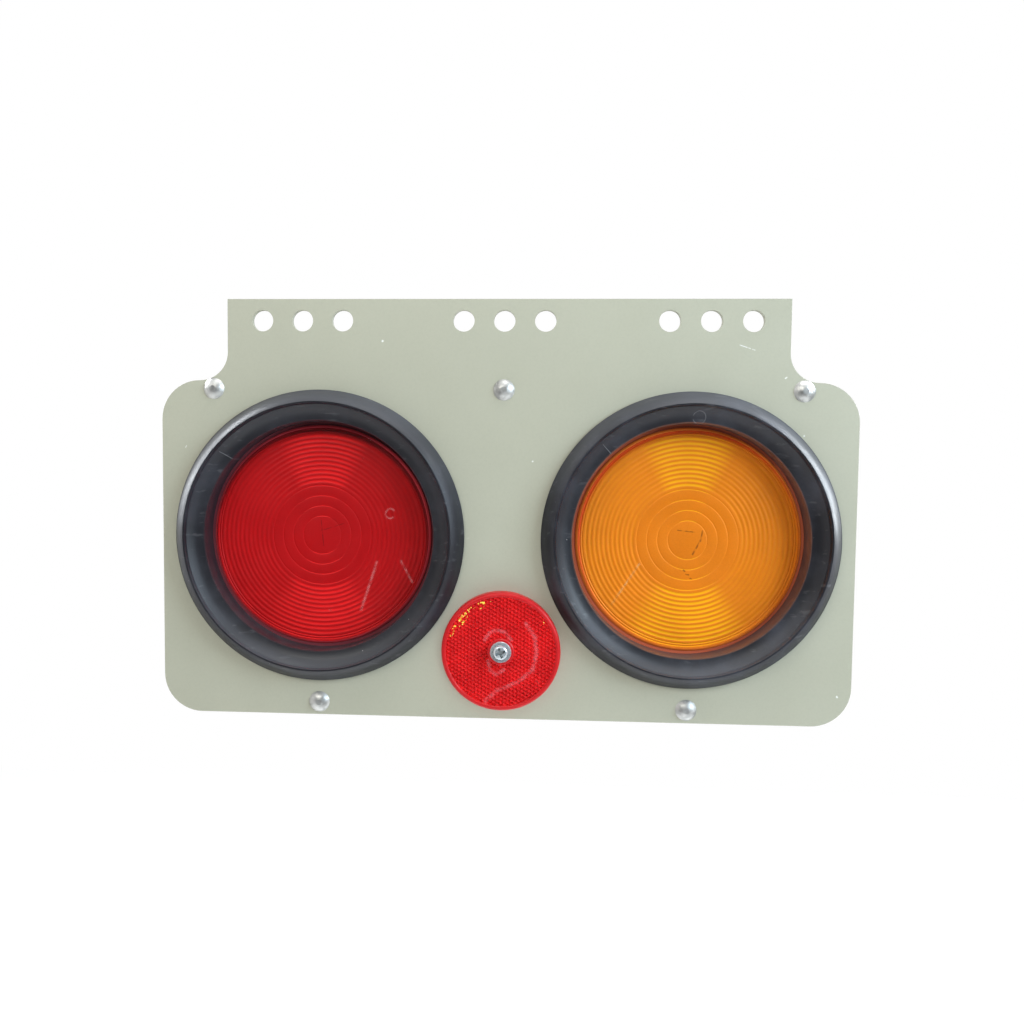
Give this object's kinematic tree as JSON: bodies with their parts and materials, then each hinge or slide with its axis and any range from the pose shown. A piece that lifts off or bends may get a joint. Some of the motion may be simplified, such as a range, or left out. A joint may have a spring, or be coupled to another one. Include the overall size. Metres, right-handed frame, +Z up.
{
  "type": "led trailer light module",
  "caption": "Hanging plate with a red stop lamp and an amber turn lamp in rubber grommets, a round reflex reflector and a rear guard over the sockets.",
  "frame": {"origin": "centre of the middle bolt hole, on the back face of the plate", "axes": "+X along the bolt row, to the right seen from the front; +Y backwards, out of the plate's back face; +Z up"},
  "size_m": [0.3264, 0.0752, 0.1978],
  "materials": {
    "plate_paint": "pale grey-green paint, satin",
    "guard_paint": "pale grey-green paint, satin",
    "rivet_metal": "polished dome",
    "rubber": "matt black",
    "grommet_rubber": "satin black moulded rubber with a grey bloom",
    "stop_lens": "clear red, gloss, ring steps on the inside",
    "turn_lens": "clear amber, gloss, ring steps on the inside",
    "reflector_metal": "metallised, bright",
    "housing_plastic": "black, fine grain",
    "board_laminate": "green lacquer",
    "emitter_resin": "clear resin over pale phosphor",
    "lead_wire": "dull tinned wire",
    "terminal_brass": "plain brass pins",
    "seal_resin": "poured black resin",
    "reflex_lens": "clear red with small prisms, gloss",
    "backing_plastic": "black",
    "screw_steel": "bright plated",
    "washer_steel": "zinc plated",
    "nut_steel": "zinc plated"
  },
  "bodies": {
    "root": {"mounting_plate": "plate_paint", "rear_guard": "guard_paint", "plate_rivets": "rivet_metal", "cable_bush": "rubber", "stop_grommet": "grommet_rubber", "stop_lens": "stop_lens", "stop_reflector": "reflector_metal", "stop_housing": "housing_plastic", "stop_board": "board_laminate", "stop_emitter": "emitter_resin", "stop_leads": "lead_wire", "stop_terminals": "terminal_brass", "stop_seal": "seal_resin", "turn_grommet": "grommet_rubber", "turn_lens": "turn_lens", "turn_reflector": "reflector_metal", "turn_housing": "housing_plastic", "turn_board": "board_laminate", "turn_emitter": "emitter_resin", "turn_leads": "lead_wire", "turn_terminals": "terminal_brass", "turn_seal": "seal_resin", "reflex_lens": "reflex_lens", "reflex_backing": "backing_plastic", "reflex_screw": "screw_steel", "reflex_washer": "washer_steel", "reflex_nut": "nut_steel"}
  },
  "joints": []
}
